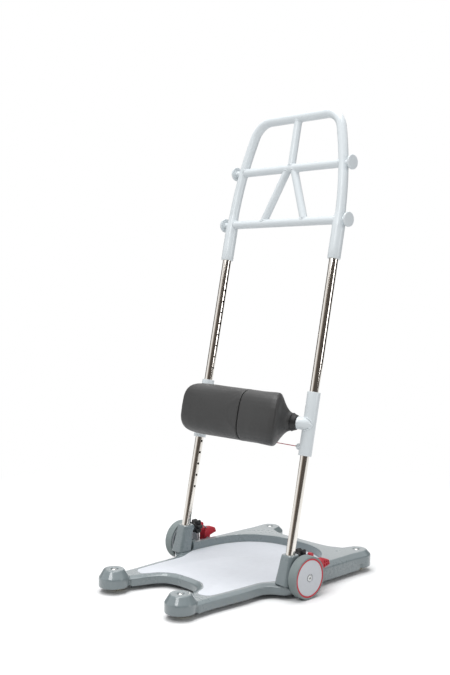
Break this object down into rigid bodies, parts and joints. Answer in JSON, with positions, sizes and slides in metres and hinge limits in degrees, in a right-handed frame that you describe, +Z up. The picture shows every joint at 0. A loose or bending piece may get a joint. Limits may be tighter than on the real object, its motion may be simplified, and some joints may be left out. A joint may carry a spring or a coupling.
{
  "type": "patient turner",
  "caption": "Wheeled standing turner with a low padded-foot base, leaning posts, a sliding knee pad and a bent grab handle with belt studs.",
  "frame": {"origin": "on the floor, under the middle of the whole object's box", "axes": "+X to the right-hand side seen by the carer behind the posts' front, +Y back towards the carer, +Z up"},
  "size_m": [0.47, 0.641, 1.1772],
  "materials": {
    "casting": "grey powder coat, satin",
    "mat": "pale grey ribbed mat, matt",
    "tyre": "grey rubber, matt",
    "cover": "pale grey plastic, satin",
    "red": "red plastic, satin",
    "white": "off-white powder coat, half gloss",
    "steel": "zinc-plated steel",
    "post": "polished steel tube",
    "pad": "charcoal moulded foam, matt",
    "black": "black plastic, matt",
    "castor": "pale amber plastic, matt"
  },
  "bodies": {
    "base": {"base_casting": "casting", "foot_mat": "mat", "left_post_socket": "casting", "right_post_socket": "casting", "socket_screws": "steel", "kingpins": "steel", "axle_bolts": "steel", "brake_pivot_pins": "steel"},
    "mast": {"left_post": "post", "right_post": "post", "handle_sleeves": "white", "handle_hoop": "white", "upper_rail": "white", "lower_rail": "white", "centre_bar": "white", "handle_struts": "white", "belt_studs": "white"},
    "support": {"slide_sleeves": "white", "support_bar": "white", "left_pad": "pad", "right_pad": "pad", "neck_collars": "black", "release_grip": "black"},
    "left_wheel": {"left_tyre": "tyre", "left_wheel_hub": "cover", "left_trim_ring": "red", "left_hub_cover": "cover", "left_wheel_bearings": "steel"},
    "left_brake": {"left_brake_pedal": "red", "left_brake_strap": "steel", "left_release_tab": "red"},
    "left_clamp": {"left_clamp_knob": "black", "left_clamp_screw": "steel"},
    "right_wheel": {"right_tyre": "tyre", "right_wheel_hub": "cover", "right_trim_ring": "red", "right_hub_cover": "cover", "right_wheel_bearings": "steel"},
    "right_brake": {"right_brake_pedal": "red", "right_brake_strap": "steel", "right_release_tab": "red"},
    "right_clamp": {"right_clamp_knob": "black", "right_clamp_screw": "steel"},
    "front_left_swivel": {"front_left_fork": "steel", "front_left_castor_axle": "steel"},
    "front_left_roller": {"front_left_castor_wheel": "castor"},
    "front_right_swivel": {"front_right_fork": "steel", "front_right_castor_axle": "steel"},
    "front_right_roller": {"front_right_castor_wheel": "castor"},
    "back_left_swivel": {"back_left_fork": "steel", "back_left_castor_axle": "steel"},
    "back_left_roller": {"back_left_castor_wheel": "castor"},
    "back_right_swivel": {"back_right_fork": "steel", "back_right_castor_axle": "steel"},
    "back_right_roller": {"back_right_castor_wheel": "castor"},
    "left_pin": {"left_lock_pin": "steel", "left_release_wire": "red"},
    "right_pin": {"right_lock_pin": "steel", "right_release_wire": "red"}
  },
  "joints": [
    {"name": "left_wheel_spin", "type": "hinge", "parent": "base", "child": "left_wheel", "pos_m": [-0.223, 0.0176, 0.0507], "axis": [1, 0, 0], "continuous": true},
    {"name": "left_brake_press", "type": "hinge", "parent": "base", "child": "left_brake", "pos_m": [-0.203, 0.078, 0.046], "axis": [-1, 0, 0], "range_deg": [0, 17]},
    {"name": "left_clamp_turn", "type": "hinge", "parent": "base", "child": "left_clamp", "pos_m": [-0.188, 0.022, 0.09], "axis": [0, 1, 0], "continuous": true},
    {"name": "right_wheel_spin", "type": "hinge", "parent": "base", "child": "right_wheel", "pos_m": [0.223, 0.0176, 0.0507], "axis": [1, 0, 0], "continuous": true},
    {"name": "right_brake_press", "type": "hinge", "parent": "base", "child": "right_brake", "pos_m": [0.203, 0.078, 0.046], "axis": [-1, 0, 0], "range_deg": [0, 17]},
    {"name": "right_clamp_turn", "type": "hinge", "parent": "base", "child": "right_clamp", "pos_m": [0.188, 0.022, 0.09], "axis": [0, 1, 0], "continuous": true},
    {"name": "front_left_castor_swivel", "type": "hinge", "parent": "base", "child": "front_left_swivel", "pos_m": [-0.123, -0.284, 0.036], "axis": [0, 0, 1], "continuous": true},
    {"name": "front_left_castor_roll", "type": "hinge", "parent": "front_left_swivel", "child": "front_left_roller", "pos_m": [-0.123, -0.273, 0.016], "axis": [1, 0, 0], "continuous": true},
    {"name": "front_right_castor_swivel", "type": "hinge", "parent": "base", "child": "front_right_swivel", "pos_m": [0.123, -0.284, 0.036], "axis": [0, 0, 1], "continuous": true},
    {"name": "front_right_castor_roll", "type": "hinge", "parent": "front_right_swivel", "child": "front_right_roller", "pos_m": [0.123, -0.273, 0.016], "axis": [1, 0, 0], "continuous": true},
    {"name": "back_left_castor_swivel", "type": "hinge", "parent": "base", "child": "back_left_swivel", "pos_m": [-0.156, 0.284, 0.036], "axis": [0, 0, 1], "continuous": true},
    {"name": "back_left_castor_roll", "type": "hinge", "parent": "back_left_swivel", "child": "back_left_roller", "pos_m": [-0.156, 0.295, 0.016], "axis": [1, 0, 0], "continuous": true},
    {"name": "back_right_castor_swivel", "type": "hinge", "parent": "base", "child": "back_right_swivel", "pos_m": [0.156, 0.284, 0.036], "axis": [0, 0, 1], "continuous": true},
    {"name": "back_right_castor_roll", "type": "hinge", "parent": "back_right_swivel", "child": "back_right_roller", "pos_m": [0.156, 0.295, 0.016], "axis": [1, 0, 0], "continuous": true},
    {"name": "mast_lift", "type": "slide", "parent": "base", "child": "mast", "axis": [0, 0.2011, 0.9796], "range_m": [0, 0.1]},
    {"name": "support_slide", "type": "slide", "parent": "mast", "child": "support", "axis": [0, 0.2011, 0.9796], "range_m": [-0.15, 0.3159]},
    {"name": "left_pin_lock", "type": "slide", "parent": "support", "child": "left_pin", "axis": [-1, 0, 0], "range_m": [0, 0.005]},
    {"name": "right_pin_lock", "type": "slide", "parent": "support", "child": "right_pin", "axis": [1, 0, 0], "range_m": [0, 0.005]}
  ],
  "couplings": [
    {"joint": "right_pin_lock", "follows": "left_pin_lock", "ratio": 1}
  ]
}
